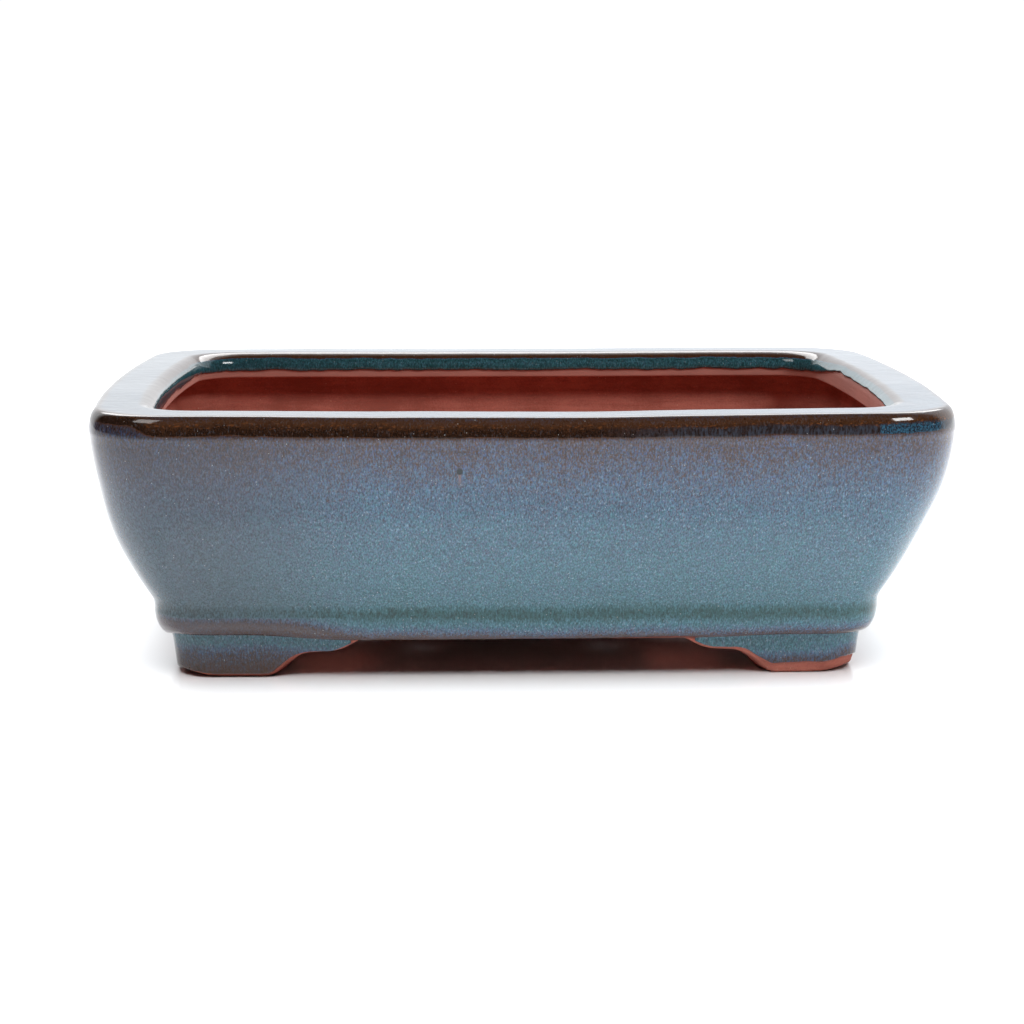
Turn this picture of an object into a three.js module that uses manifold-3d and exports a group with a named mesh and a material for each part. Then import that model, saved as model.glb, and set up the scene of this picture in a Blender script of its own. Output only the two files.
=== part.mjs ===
// A rectangular bonsai pot: glazed earthenware, built up from luted clay members.
//
// Sizes are in millimetres. +Z is up, +X runs along the pot's length, and the origin is the centre of its
// base, on the surface that the feet stand on. From the ground up the members are four bracket feet, a
// floor slab whose rounded edge shows as a belt round the pot, four bowed walls, and four lip strips that
// overhang the walls on the inside. Members sit on each other face to face, and the four walls, and the
// four lip strips, meet at mitres in the pot's corners.
import * as THREE from "three";
import { mergeVertices } from "three/addons/utils/BufferGeometryUtils.js";
import Module from "manifold-3d";

// --- Driving dimensions -----------------------------------------------------------------------------------
const potLength = 210; // over the rim, at the middle of the bowed ends
const potWidth = 155; // over the rim, at the middle of the front and rear
const potHeight = 66;
const endBow = 4.2; // how far each short side bows outwards
const frontBow = 0.6; // how far the front and the rear bow outwards
const rimCornerRadius = 20; // of the rim's outline
const footCornerRadius = 10; // of the feet's outline, at the ground
const tightestCornerRadius = 5; // of any outline inside the feet's

const footHeight = 10; // the air gap under the floor slab
const slabThickness = 8;
const lipHeight = 7;
const lipWidth = 15.5;
const lipEdgeRadius = 2.2;
const wallThickness = 7;
const wallTopInset = 0.5; // how far back from the rim's outline the wall stands at its top
const wallBaseInset = 14.2; // and where it meets the floor slab
const beltInset = 13.9; // how far back from it the belt stands, which is the floor slab's edge
const beltUndercut = 3.6; // how far the belt's rounded lower edge turns in
const beltRoundHeight = 5; // the height of that rounding
const floorDrop = 0.5; // the floor inside the walls is wiped down this far below their seats
const floorFillet = 4; // the fillet between a wall and the floor, inside
const slipGap = 0.3; // the slip that lutes two members together at a mitre

const footThickness = 11.5; // of a foot's two legs, at their top
const footDraft = 1.1; // each side of a leg leans in this far towards the ground
const footEdgeRadius = 1.4;
const frontFootRun = 29; // a foot's length on the ground along the front or the rear
const endFootRun = 22; // and along the ends
const kneeRun = 6.5; // the steep part of the cloud-shaped shoulder beside each foot
const kneeDrop = 4.6; // and how far below the slab it ends
const shoulderRun = 13; // the length of the shoulder up to where it turns up to meet the slab
const shoulderDrop = 3.2; // and how far below the slab it is there
const cloudRun = 19.5; // the length of the whole shoulder

const drainHoleDiameter = 22;
const drainHoleSpacing = 92; // between the centres of the two drain holes
const wireHoleDiameter = 4.5;
const wireHoleSpacingX = 46; // between the centres of the tie-wire holes, along the pot
const wireHoleSpacingY = 56; // and across it

// How finely the round stretches are drawn.
const sideSteps = 4; // on half a side
const cornerSteps = 8; // round a corner, an even number because a mitre lies at its middle
const profileSteps = 7; // up a wall
const edgeSteps = 3; // round a small edge
const holeSteps = 28; // round a hole
const shoulderSteps = 5; // along each curve of a foot's shoulder

// --- Levels that follow from them -------------------------------------------------------------------------
const slabTop = footHeight + slabThickness;
const wallTop = potHeight - lipHeight;
const beltBottomInset = beltInset + beltUndercut;
const footGroundInset = beltBottomInset + footDraft;
const filletTop = slabTop + floorFillet;
const filletToeInset = wallInset(filletTop) + wallThickness + floorFillet;

// --- The plan outline -------------------------------------------------------------------------------------

// Where two circles meet, on the side away from the pot's centre.
function circlesMeet(centreA, radiusA, centreB, radiusB) {
  const across = centreB.clone().sub(centreA);
  const distance = across.length();
  const along = (distance ** 2 + radiusA ** 2 - radiusB ** 2) / (2 * distance);
  const aside = Math.sqrt(radiusA ** 2 - along ** 2);
  const unit = across.normalize();
  const foot = centreA.clone().addScaledVector(unit, along);
  const normal = new THREE.Vector2(-unit.y, unit.x);
  const first = foot.clone().addScaledVector(normal, aside);
  const second = foot.clone().addScaledVector(normal, -aside);
  return first.x + first.y > second.x + second.y ? first : second;
}

// The corner radius of an outline that stands this far back from the rim's outline.
function cornerRadius(inset) {
  const change = (rimCornerRadius - footCornerRadius) / footGroundInset;
  return Math.max(tightestCornerRadius, rimCornerRadius - change * inset);
}

// The pot's outline in plan, set back by inset: four bowed sides and four round corners, all arcs that run
// into each other. It starts at the middle of the +X end and goes round anticlockwise. Every outline has
// the same number of points, so point i of one lies beside point i of another.
function outline(inset) {
  const halfLength = potLength / 2 - inset;
  const halfWidth = potWidth / 2 - inset;
  const radius = cornerRadius(inset);
  const bowX = endBow * (halfWidth / (potWidth / 2));
  const bowY = frontBow * (halfLength / (potLength / 2));
  const endRadius = (halfWidth ** 2 + bowX ** 2) / (2 * bowX);
  const frontRadius = (halfLength ** 2 + bowY ** 2) / (2 * bowY);
  const endCentre = new THREE.Vector2(halfLength - endRadius, 0);
  const frontCentre = new THREE.Vector2(0, halfWidth - frontRadius);
  const corner = circlesMeet(endCentre, endRadius - radius, frontCentre, frontRadius - radius);
  const cornerStart = corner.clone().sub(endCentre).angle();
  const cornerEnd = corner.clone().sub(frontCentre).angle();

  const quarter = [];
  const addArc = (centre, arcRadius, from, to, steps) => {
    for (let i = quarter.length ? 1 : 0; i <= steps; i++) {
      const angle = from + ((to - from) * i) / steps;
      const direction = new THREE.Vector2(Math.cos(angle), Math.sin(angle));
      quarter.push(centre.clone().addScaledVector(direction, arcRadius));
    }
  };
  addArc(endCentre, endRadius, 0, cornerStart, sideSteps);
  addArc(corner, radius, cornerStart, cornerEnd, cornerSteps);
  addArc(frontCentre, frontRadius, cornerEnd, Math.PI / 2, sideSteps);

  const mirrored = (points, x, y) => points.map((p) => new THREE.Vector2(p.x * x, p.y * y));
  const forwards = quarter.slice(0, -1);
  const backwards = quarter.slice(1).reverse();
  return [
    ...mirrored(forwards, 1, 1),
    ...mirrored(backwards, -1, 1),
    ...mirrored(forwards, -1, -1),
    ...mirrored(backwards, 1, -1),
  ];
}

const quarterSteps = 2 * sideSteps + cornerSteps;
const outlineSteps = 4 * quarterSteps;
// The mitre in each corner, as a place in the outline.
const mitre = {
  rearRight: quarterSteps / 2,
  rearLeft: quarterSteps * 1.5,
  frontLeft: quarterSteps * 2.5,
  frontRight: quarterSteps * 3.5,
};
// The four sides, each from one mitre to the next.
const sides = {
  rear: [mitre.rearRight, mitre.rearLeft],
  left: [mitre.rearLeft, mitre.frontLeft],
  front: [mitre.frontLeft, mitre.frontRight],
  right: [mitre.frontRight, mitre.rearRight + outlineSteps],
};

// --- Solids -----------------------------------------------------------------------------------------------

function geometryOf(positions, triangles) {
  const geometry = new THREE.BufferGeometry();
  geometry.setAttribute("position", new THREE.Float32BufferAttribute(positions, 3));
  geometry.setIndex(triangles);
  return geometry;
}

// The way the rim's outline runs at a place, as a unit vector.
function heading(place) {
  const rim = outline(0);
  const before = rim[(place - 1 + outlineSteps) % outlineSteps];
  const after = rim[(place + 1) % outlineSteps];
  return after.clone().sub(before).normalize();
}

// A section, which is a closed line of [inset, height] points, carried along the outline from one of its
// places to another. Both ends are closed, and each stops short of its place by endGap.
function carried(section, [from, to], endGap) {
  const outlines = section.map(([inset]) => outline(inset));
  const last = to - from;
  const positions = [];
  for (let i = 0; i <= last; i++) {
    const place = (from + i) % outlineSteps;
    const shift = new THREE.Vector2();
    if (i === 0) {
      shift.addScaledVector(heading(place), endGap);
    }
    if (i === last) {
      shift.addScaledVector(heading(place), -endGap);
    }
    section.forEach(([, height], j) => {
      const point = outlines[j][place].clone().add(shift);
      positions.push(point.x, point.y, height);
    });
  }
  const count = section.length;
  const at = (i, j) => i * count + (j % count);
  const triangles = [];
  for (let i = 0; i < last; i++) {
    for (let j = 0; j < count; j++) {
      triangles.push(at(i, j), at(i, j + 1), at(i + 1, j + 1));
      triangles.push(at(i, j), at(i + 1, j + 1), at(i + 1, j));
    }
  }
  const flat = section.map(([inset, height]) => new THREE.Vector2(inset, height));
  for (const [a, b, c] of THREE.ShapeUtils.triangulateShape(flat, [])) {
    triangles.push(at(0, a), at(0, c), at(0, b));
    triangles.push(at(last, a), at(last, b), at(last, c));
  }
  return geometryOf(positions, triangles);
}

// A solid stacked from outlines: its profile is a line of [inset, height] points from its underside to its
// top.
function stacked(profile) {
  const positions = [];
  const outlines = profile.map(([inset]) => outline(inset));
  outlines.forEach((points, j) => points.forEach((p) => positions.push(p.x, p.y, profile[j][1])));
  const at = (j, i) => j * outlineSteps + (i % outlineSteps);
  const triangles = [];
  for (let j = 0; j < profile.length - 1; j++) {
    for (let i = 0; i < outlineSteps; i++) {
      triangles.push(at(j, i), at(j, i + 1), at(j + 1, i + 1));
      triangles.push(at(j, i), at(j + 1, i + 1), at(j + 1, i));
    }
  }
  const top = profile.length - 1;
  for (const [a, b, c] of THREE.ShapeUtils.triangulateShape(outlines[0], [])) {
    triangles.push(at(0, a), at(0, c), at(0, b));
  }
  for (const [a, b, c] of THREE.ShapeUtils.triangulateShape(outlines[top], [])) {
    triangles.push(at(top, a), at(top, b), at(top, c));
  }
  return geometryOf(positions, triangles);
}

// Points on an ellipse about [inset, height], from one angle in degrees to another. The first of them is
// left out, because the line that the edge rounds off already ends there.
function roundEdge([inset, height], reach, rise, fromDegrees, toDegrees, steps = edgeSteps) {
  return Array.from({ length: steps }, (_, i) => {
    const angle = THREE.MathUtils.degToRad(fromDegrees + ((toDegrees - fromDegrees) * (i + 1)) / steps);
    return [inset + reach * Math.cos(angle), height + rise * Math.sin(angle)];
  });
}

// How far the wall's outer face stands back from the rim's outline at a height. It's a parabola, which is
// nearly upright at the rim and turns in towards the floor slab.
function wallInset(height) {
  const down = (potHeight - height) / (potHeight - slabTop);
  const topDown = (potHeight - wallTop) / (potHeight - slabTop);
  const share = (down ** 2 - topDown ** 2) / (1 - topDown ** 2);
  return wallTopInset + (wallBaseInset - wallTopInset) * share;
}

function wallSection() {
  const outer = Array.from({ length: profileSteps + 1 }, (_, i) => {
    const height = wallTop + ((slabTop - wallTop) * i) / profileSteps;
    return [wallInset(height), height];
  });
  const inner = Array.from({ length: profileSteps }, (_, i) => {
    const height = filletTop + ((wallTop - filletTop) * i) / (profileSteps - 1);
    return [wallInset(height) + wallThickness, height];
  });
  return [...outer, [filletToeInset, slabTop], ...inner];
}

function lipSection() {
  const r = lipEdgeRadius;
  return [
    [wallTopInset, wallTop],
    [lipWidth - r, wallTop],
    ...roundEdge([lipWidth - r, wallTop + r], r, r, -90, 0),
    [lipWidth, potHeight - r],
    ...roundEdge([lipWidth - r, potHeight - r], r, r, 0, 90),
    [r, potHeight],
    ...roundEdge([r, potHeight - r], r, r, 90, 180),
  ];
}

function footSection() {
  const r = footEdgeRadius;
  const innerGroundInset = beltBottomInset + footThickness - footDraft;
  return [
    [footGroundInset, r],
    ...roundEdge([footGroundInset + r, r], r, r, 180, 270),
    [innerGroundInset - r, 0],
    ...roundEdge([innerGroundInset - r, r], r, r, -90, 0),
    [beltBottomInset + footThickness, footHeight],
    [beltBottomInset, footHeight],
  ];
}

// The gap between two feet, seen square on. It is widest at the ground, where halfGap is half its width,
// and the cloud-shaped shoulders close it in towards the floor slab.
function gapShape(halfGap) {
  const shoulder = [
    [0, 0],
    [kneeRun / 2, footHeight - kneeDrop],
    [kneeRun, footHeight - kneeDrop],
    [shoulderRun, footHeight - shoulderDrop],
    [cloudRun, footHeight - shoulderDrop],
    [cloudRun, footHeight],
  ];
  const right = shoulder.map(([run, height]) => [halfGap - run, height]);
  const left = right.map(([x, height]) => [-x, height]).reverse();
  const beyond = footHeight; // the cutter runs on below the ground and above the foot by this much
  const gap = new THREE.Shape();
  gap.moveTo(-halfGap, -beyond);
  gap.lineTo(halfGap, -beyond);
  for (const side of [right, left]) {
    gap.lineTo(...side[0]);
    gap.quadraticCurveTo(...side[1], ...side[2]);
    gap.lineTo(...side[3]);
    gap.quadraticCurveTo(...side[4], ...side[5]);
    if (side === right) {
      gap.lineTo(halfGap - cloudRun, footHeight + beyond);
      gap.lineTo(cloudRun - halfGap, footHeight + beyond);
    }
  }
  return gap;
}

// --- Booleans ---------------------------------------------------------------------------------------------
const wasm = await Module();
wasm.setup();

function solidOf(geometry) {
  const bare = geometry.clone();
  bare.deleteAttribute("normal");
  bare.deleteAttribute("uv");
  const merged = mergeVertices(bare, 1e-4);
  return new wasm.Manifold(
    new wasm.Mesh({
      numProp: 3,
      vertProperties: new Float32Array(merged.attributes.position.array),
      triVerts: new Uint32Array(merged.index.array),
    }),
  );
}

function geometryFrom(solid) {
  const { vertProperties, triVerts } = solid.getMesh();
  return geometryOf(Array.from(vertProperties), Array.from(triVerts));
}

function roundHole(diameter, x, y) {
  const cutter = new THREE.CylinderGeometry(diameter / 2, diameter / 2, slabThickness * 3, holeSteps);
  cutter.rotateX(Math.PI / 2);
  cutter.translate(x, y, footHeight + slabThickness / 2);
  return solidOf(cutter);
}

function floorSlab() {
  const centre = [beltBottomInset, footHeight + beltRoundHeight];
  let slab = solidOf(
    stacked([
      [beltBottomInset, footHeight],
      ...roundEdge(centre, beltUndercut, beltRoundHeight, 270, 180, 2 * edgeSteps),
      [beltInset, slabTop],
      [filletToeInset, slabTop],
      [filletToeInset + floorDrop, slabTop - floorDrop],
    ]),
  );
  for (const side of [-1, 1]) {
    slab = slab.subtract(roundHole(drainHoleDiameter, (side * drainHoleSpacing) / 2, 0));
    for (const row of [-1, 1]) {
      const x = (side * wireHoleSpacingX) / 2;
      const y = (row * wireHoleSpacingY) / 2;
      slab = slab.subtract(roundHole(wireHoleDiameter, x, y));
    }
  }
  return geometryFrom(slab);
}

// The gap between two feet made solid. It reaches this far each way along Y from the pot's centre.
function gapCutter(halfGap, reach) {
  const cutter = new THREE.ExtrudeGeometry(gapShape(halfGap), {
    depth: 2 * reach,
    bevelEnabled: false,
    curveSegments: shoulderSteps,
  });
  cutter.translate(0, 0, -reach);
  cutter.rotateX(Math.PI / 2);
  return cutter;
}

// A foot is a quarter of a ring, cut back by the gap along the front or the rear and by the gap along the
// end.
function foot(quarter) {
  const halfFrontGap = potLength / 2 - footGroundInset - frontFootRun;
  const halfEndGap = potWidth / 2 - footGroundInset - endFootRun;
  const span = [quarter * quarterSteps, (quarter + 1) * quarterSteps];
  const frontGap = gapCutter(halfFrontGap, potWidth);
  const endGap = gapCutter(halfEndGap, potLength);
  endGap.rotateZ(Math.PI / 2);
  const leg = solidOf(carried(footSection(), span, 0));
  return geometryFrom(leg.subtract(solidOf(frontGap)).subtract(solidOf(endGap)));
}

// --- The assembly -----------------------------------------------------------------------------------------
const glaze = new THREE.MeshStandardMaterial({ color: 0x5f7d8c, roughness: 0.18, metalness: 0 });
const rimGlaze = new THREE.MeshStandardMaterial({ color: 0x4a2f1e, roughness: 0.15, metalness: 0 });
const terracotta = new THREE.MeshStandardMaterial({ color: 0xa65f4a, roughness: 0.9, metalness: 0 });

const pot = new THREE.Group();
function add(name, geometry, material) {
  const mesh = new THREE.Mesh(geometry, material);
  mesh.name = name;
  pot.add(mesh);
}

add("floor_slab", floorSlab(), terracotta);
for (const [side, span] of Object.entries(sides)) {
  add(`${side}_wall`, carried(wallSection(), span, slipGap / 2), glaze);
  add(`${side}_lip`, carried(lipSection(), span, slipGap / 2), rimGlaze);
}
["foot_rear_right", "foot_rear_left", "foot_front_left", "foot_front_right"].forEach((name, quarter) => {
  add(name, foot(quarter), glaze);
});

export default pot;
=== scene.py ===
"""A rectangular bonsai pot: its clay members, the coat of glaze that runs over them, and a studio to see it in."""

import math
from bisect import bisect_right
from functools import lru_cache

import bmesh
import bpy
from bpy.props import FloatProperty, FloatVectorProperty, IntProperty, PointerProperty
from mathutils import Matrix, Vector, noise


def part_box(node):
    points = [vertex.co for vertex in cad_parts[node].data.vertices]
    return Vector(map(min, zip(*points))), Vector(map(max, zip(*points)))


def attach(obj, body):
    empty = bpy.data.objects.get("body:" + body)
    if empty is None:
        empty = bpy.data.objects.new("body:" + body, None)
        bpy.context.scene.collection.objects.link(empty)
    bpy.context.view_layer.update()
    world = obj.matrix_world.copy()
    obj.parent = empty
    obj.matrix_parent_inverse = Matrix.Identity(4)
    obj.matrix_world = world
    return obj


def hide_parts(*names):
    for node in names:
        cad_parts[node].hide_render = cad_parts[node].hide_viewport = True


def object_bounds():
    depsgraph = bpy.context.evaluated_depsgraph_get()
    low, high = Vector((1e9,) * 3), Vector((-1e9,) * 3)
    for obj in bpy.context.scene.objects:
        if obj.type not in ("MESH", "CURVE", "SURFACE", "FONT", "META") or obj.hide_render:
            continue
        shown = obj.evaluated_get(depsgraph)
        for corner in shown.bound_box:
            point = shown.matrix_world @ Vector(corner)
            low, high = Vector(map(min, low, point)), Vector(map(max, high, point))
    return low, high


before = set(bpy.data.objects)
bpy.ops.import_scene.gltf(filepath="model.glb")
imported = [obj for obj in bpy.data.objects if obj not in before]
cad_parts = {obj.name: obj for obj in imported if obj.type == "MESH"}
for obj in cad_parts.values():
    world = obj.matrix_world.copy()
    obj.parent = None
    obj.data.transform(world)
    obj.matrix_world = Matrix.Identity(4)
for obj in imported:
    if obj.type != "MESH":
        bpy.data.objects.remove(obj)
cad_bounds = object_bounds()

bl_info = {
    "name": "Bonsai Pot",
    "version": (1, 0, 0),
    "blender": (4, 5, 0),
    "location": "View3D > Sidebar > Pot",
    "description": "Models and glazes a rectangular bonsai pot, and sets it in a studio",
    "category": "Add Mesh",
}

MM = 0.001
BODY = "root"
SIDES = ("rear", "left", "front", "right")

# Levels and sizes that the frame settles.
POT_LOW, POT_HIGH = (Vector(corner) for corner in cad_bounds)
HALF_LENGTH = (POT_HIGH.x - POT_LOW.x) / 2
HALF_WIDTH = (POT_HIGH.y - POT_LOW.y) / 2
RIM_TOP = POT_HIGH.z
SLAB_LOW, SLAB_HIGH = (corner.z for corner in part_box("floor_slab"))
LIP_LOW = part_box("front_lip")[0].z
BELT_INSET = HALF_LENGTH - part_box("floor_slab")[1].x
FOOT_TOP_INSET = HALF_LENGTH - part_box("foot_front_right")[1].x
BELT_LOW = SLAB_LOW - 0.45 * MM  # the fired slab hangs a little lower than the true one

# How the kiln has bent the pot, and how its feet differ from the true ones.
LEAN = 1.3 * MM  # of the base, to the left
LEFT_RISE = 1.4  # mm that the belt rises over the left feet
RISE_DROP = 0.8  # mm that it rises less over the right ones
FOOT_SETBACK = 1.2 * MM  # of a foot's face behind the edge above it
RIGHT_KNEE = 1.8 * MM  # that the right feet are shorter along the front
SHARP = 40  # degrees above which an edge of the clay is shaded sharp


# --- What a user can change ---


def length(name, description, default):
    return FloatProperty(name=name, description=description, default=default, min=0.0, unit="LENGTH", precision=5)


def colour(name, description, default):
    return FloatVectorProperty(
        name=name, description=description, default=default, size=3, min=0.0, max=1.0, subtype="COLOR"
    )


class PotSizes(bpy.types.PropertyGroup):
    """The pot's shape, as far as the frame doesn't settle it."""

    end_bow: length("End bow", "How far each short side bows outwards", 4.2 * MM)
    front_bow: length("Front bow", "How far the front and the rear bow outwards", 0.6 * MM)
    rim_corner: length("Rim corner", "Corner radius of the rim's outline", 20 * MM)
    foot_corner: length("Foot corner", "Corner radius of the feet's outline at the ground", 10 * MM)
    lip_width: length("Lip width", "Width of the rim's flat top and its edges", 15.5 * MM)
    wall: length("Wall", "Thickness of the clay walls, glaze included", 7 * MM)
    wall_base: length("Wall base", "How far the wall stands back from the rim at its foot", 15.3 * MM)
    foot_thickness: length("Foot thickness", "Thickness of a foot's legs at their top", 11.5 * MM)
    foot_draft: length("Foot draft", "How far each side of a leg leans in towards the ground", 1.1 * MM)
    front_foot_run: length("Foot length, front", "Length of a foot on the ground along the front", 26.6 * MM)
    end_foot_run: length("Foot length, end", "Length of a foot on the ground along the end", 22 * MM)
    cloud_run: length("Cloud length", "Length of the cloud-shaped shoulder beside a foot", 21 * MM)
    drain_hole: length("Drain hole", "Diameter of a drain hole", 22 * MM)
    drain_spacing: length("Drain hole spacing", "Distance between the drain holes' centres", 92 * MM)
    wire_hole: length("Wire hole", "Diameter of a tie-wire hole", 4.5 * MM)
    wire_spacing_x: length("Wire hole spacing, long", "Distance between tie-wire holes along the pot", 46 * MM)
    wire_spacing_y: length("Wire hole spacing, wide", "Distance between tie-wire holes across the pot", 56 * MM)
    sag: length("Rim sag", "How far the middle of the front rim has sagged in the kiln", 0.7 * MM)


class PotGlaze(bpy.types.PropertyGroup):
    """The glaze: its thickness and the colours that it takes from thin to pooled."""

    coat: length("Coat", "Thickness of the glaze", 0.5 * MM)
    dark: colour("Bare brown", "Where the glaze is thinnest, on an edge", (0.016, 0.007, 0.004))
    thin: colour("Breaking", "Where the glaze breaks thin over an edge", (0.060, 0.024, 0.010))
    # This colour is also used to paint light on the upward-facing top of the rim's brown band.
    ember_and_top_light: colour("Ember", "Rusty specks in the brown", (0.160, 0.055, 0.018))
    veil: colour("Mauve", "Where it is thin on a wall", (0.052, 0.046, 0.062))
    middle: colour("Blue", "Where it is of middling thickness", (0.049, 0.098, 0.164))
    thick: colour("Turquoise", "Where it is thick", (0.043, 0.138, 0.174))
    pooled: colour("Pooled", "Where it has pooled in a crease", (0.016, 0.066, 0.070))
    frost: colour("Frost", "Pale blue crystals in the glaze", (0.190, 0.270, 0.345))
    roughness: FloatProperty(
        name="Roughness", description="Roughness of the glaze", default=0.07, min=0.0, max=1.0, subtype="FACTOR"
    )


class PotClay(bpy.types.PropertyGroup):
    """The bare clay."""

    light: colour("Clay", "Colour of the bare clay", (0.50, 0.160, 0.115))
    dark: colour("Toasted clay", "Colour where the kiln has toasted it", (0.34, 0.095, 0.065))
    roughness: FloatProperty(
        name="Roughness", description="Roughness of the clay", default=0.75, min=0.0, max=1.0, subtype="FACTOR"
    )


class PotMesh(bpy.types.PropertyGroup):
    """How finely the pot is modelled."""

    end_columns: IntProperty(name="End", description="Columns on half a short side", default=44, min=4)
    corner_columns: IntProperty(name="Corner", description="Columns round a corner", default=28, min=4)
    front_columns: IntProperty(name="Front", description="Columns on half a long side", default=66, min=4)


class PotStage(bpy.types.PropertyGroup):
    """The studio."""

    backdrop: FloatProperty(name="Backdrop", description="Brightness of the white behind", default=1.42, min=0.0)
    room: FloatProperty(name="Room", description="Brightness of the dark room in front", default=0.02, min=0.0)
    horizon: FloatProperty(name="Horizon", description="Brightness past the table's edge", default=1.08, min=0.0)
    table_light: FloatProperty(name="Table light", description="Strength of the table's lamp", default=6.2, min=0.0)
    lens: FloatProperty(name="Lens", description="Focal length", default=80.6, unit="CAMERA")


def sizes():
    return bpy.context.scene.pot_sizes


# --- The plan outline ---


def circles_meet(centre_a, radius_a, centre_b, radius_b):
    """Where two circles meet, on the side away from the pot's centre."""
    across = centre_b - centre_a
    along = (across.length_squared + radius_a**2 - radius_b**2) / (2 * across.length)
    aside = math.sqrt(radius_a**2 - along**2)
    unit = across.normalized()
    points = [centre_a + unit * along + Vector((-unit.y, unit.x)) * turn * aside for turn in (1, -1)]
    return max(points, key=lambda point: point.x + point.y)


def corner_radius(inset):
    """The corner radius of an outline that stands this far back from the rim's."""
    shape = sizes()
    tightest = shape.foot_corner / 2
    change = (shape.rim_corner - shape.foot_corner) / (FOOT_TOP_INSET + shape.foot_draft)
    return max(tightest, shape.rim_corner - change * inset)


@lru_cache(maxsize=None)
def outline(inset):
    """The pot's outline in plan, set back by inset: four bowed sides and four corners, anticlockwise from +X."""
    shape = sizes()
    fineness = bpy.context.scene.pot_mesh
    half_x = HALF_LENGTH - inset
    half_y = HALF_WIDTH - inset
    radius = corner_radius(inset)
    bow_x = shape.end_bow * half_y / HALF_WIDTH
    bow_y = shape.front_bow * half_x / HALF_LENGTH
    end_radius = (half_y**2 + bow_x**2) / (2 * bow_x)
    front_radius = (half_x**2 + bow_y**2) / (2 * bow_y)
    end_centre = Vector((half_x - end_radius, 0))
    front_centre = Vector((0, half_y - front_radius))
    corner = circles_meet(end_centre, end_radius - radius, front_centre, front_radius - radius)
    corner_start = math.atan2(corner.y, corner.x - end_centre.x)
    corner_end = math.atan2(corner.y - front_centre.y, corner.x)
    quarter = [Vector((half_x, 0))]
    for centre, bend, start, end, steps in (
        (end_centre, end_radius, 0, corner_start, fineness.end_columns),
        (corner, radius, corner_start, corner_end, fineness.corner_columns),
        (front_centre, front_radius, corner_end, math.pi / 2, fineness.front_columns),
    ):
        for i in range(1, steps + 1):
            angle = start + (end - start) * i / steps
            quarter.append(centre + Vector((math.cos(angle), math.sin(angle))) * bend)
    forwards = quarter[:-1]
    backwards = quarter[:0:-1]
    return [
        Vector((point.x * x, point.y * y))
        for points, x, y in ((forwards, 1, 1), (backwards, -1, 1), (forwards, -1, -1), (backwards, 1, -1))
        for point in points
    ]


def spot(column, inset, height):
    """The point of a column that stands back this far from the rim's outline, at a height."""
    point = outline(round(inset, 5))[column]
    return Vector((point.x, point.y, height))


# --- The profile ---


def wall_inset(height):
    """How far the outside of the wall stands back from the rim's outline: a parabola, nearly upright at the rim."""
    top_inset = 0.3 * MM
    down = (RIM_TOP - height) / (RIM_TOP - SLAB_HIGH)
    top_down = (RIM_TOP - LIP_LOW) / (RIM_TOP - SLAB_HIGH)
    share = (down**2 - top_down**2) / (1 - top_down**2)
    return top_inset + (sizes().wall_base - top_inset) * share


def ellipse(centre, reach, rise, start, end, steps, squareness=2.0):
    """Points round an ellipse from one angle in degrees to another, both ends included; above 2 it's squarer."""
    points = []
    for i in range(steps + 1):
        angle = math.radians(start + (end - start) * i / steps)
        across, up = math.cos(angle), math.sin(angle)
        out = (abs(across) ** squareness + abs(up) ** squareness) ** (-1 / squareness)
        points.append((centre[0] + reach * across * out, centre[1] + rise * up * out))
    return points


class Profile:
    """A line of (inset, height) points up the pot. depth 0 is on it, and a depth above 0 is inside the clay."""

    def __init__(self, points):
        self.points = [Vector(point) for point in points]
        self.along = [0.0]
        for before, after in zip(self.points, self.points[1:]):
            self.along.append(self.along[-1] + (after - before).length)
        self.normals = []
        for i in range(len(self.points)):
            before = self.points[max(i - 1, 0)]
            after = self.points[min(i + 1, len(self.points) - 1)]
            run = (after - before).normalized()
            self.normals.append(Vector((run.y, -run.x)))

    def at(self, distance, depth=0.0):
        """The (inset, height) at a distance along the profile and a depth under it."""
        i = min(max(bisect_right(self.along, distance) - 1, 0), len(self.points) - 2)
        share = (distance - self.along[i]) / (self.along[i + 1] - self.along[i])
        point = self.points[i].lerp(self.points[i + 1], share)
        inward = self.normals[i].lerp(self.normals[i + 1], share).normalized()
        return point + inward * depth

    def distance_at(self, height, after=0.0):
        """The distance at which the profile first passes a height, beyond another distance."""
        for i, (low, high) in enumerate(zip(self.points, self.points[1:])):
            if self.along[i] >= after and min(low.y, high.y) <= height <= max(low.y, high.y) and low.y != high.y:
                share = (height - low.y) / (high.y - low.y)
                return self.along[i] + share * (self.along[i + 1] - self.along[i])
        raise RuntimeError(f"the profile never passes {height}")


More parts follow.
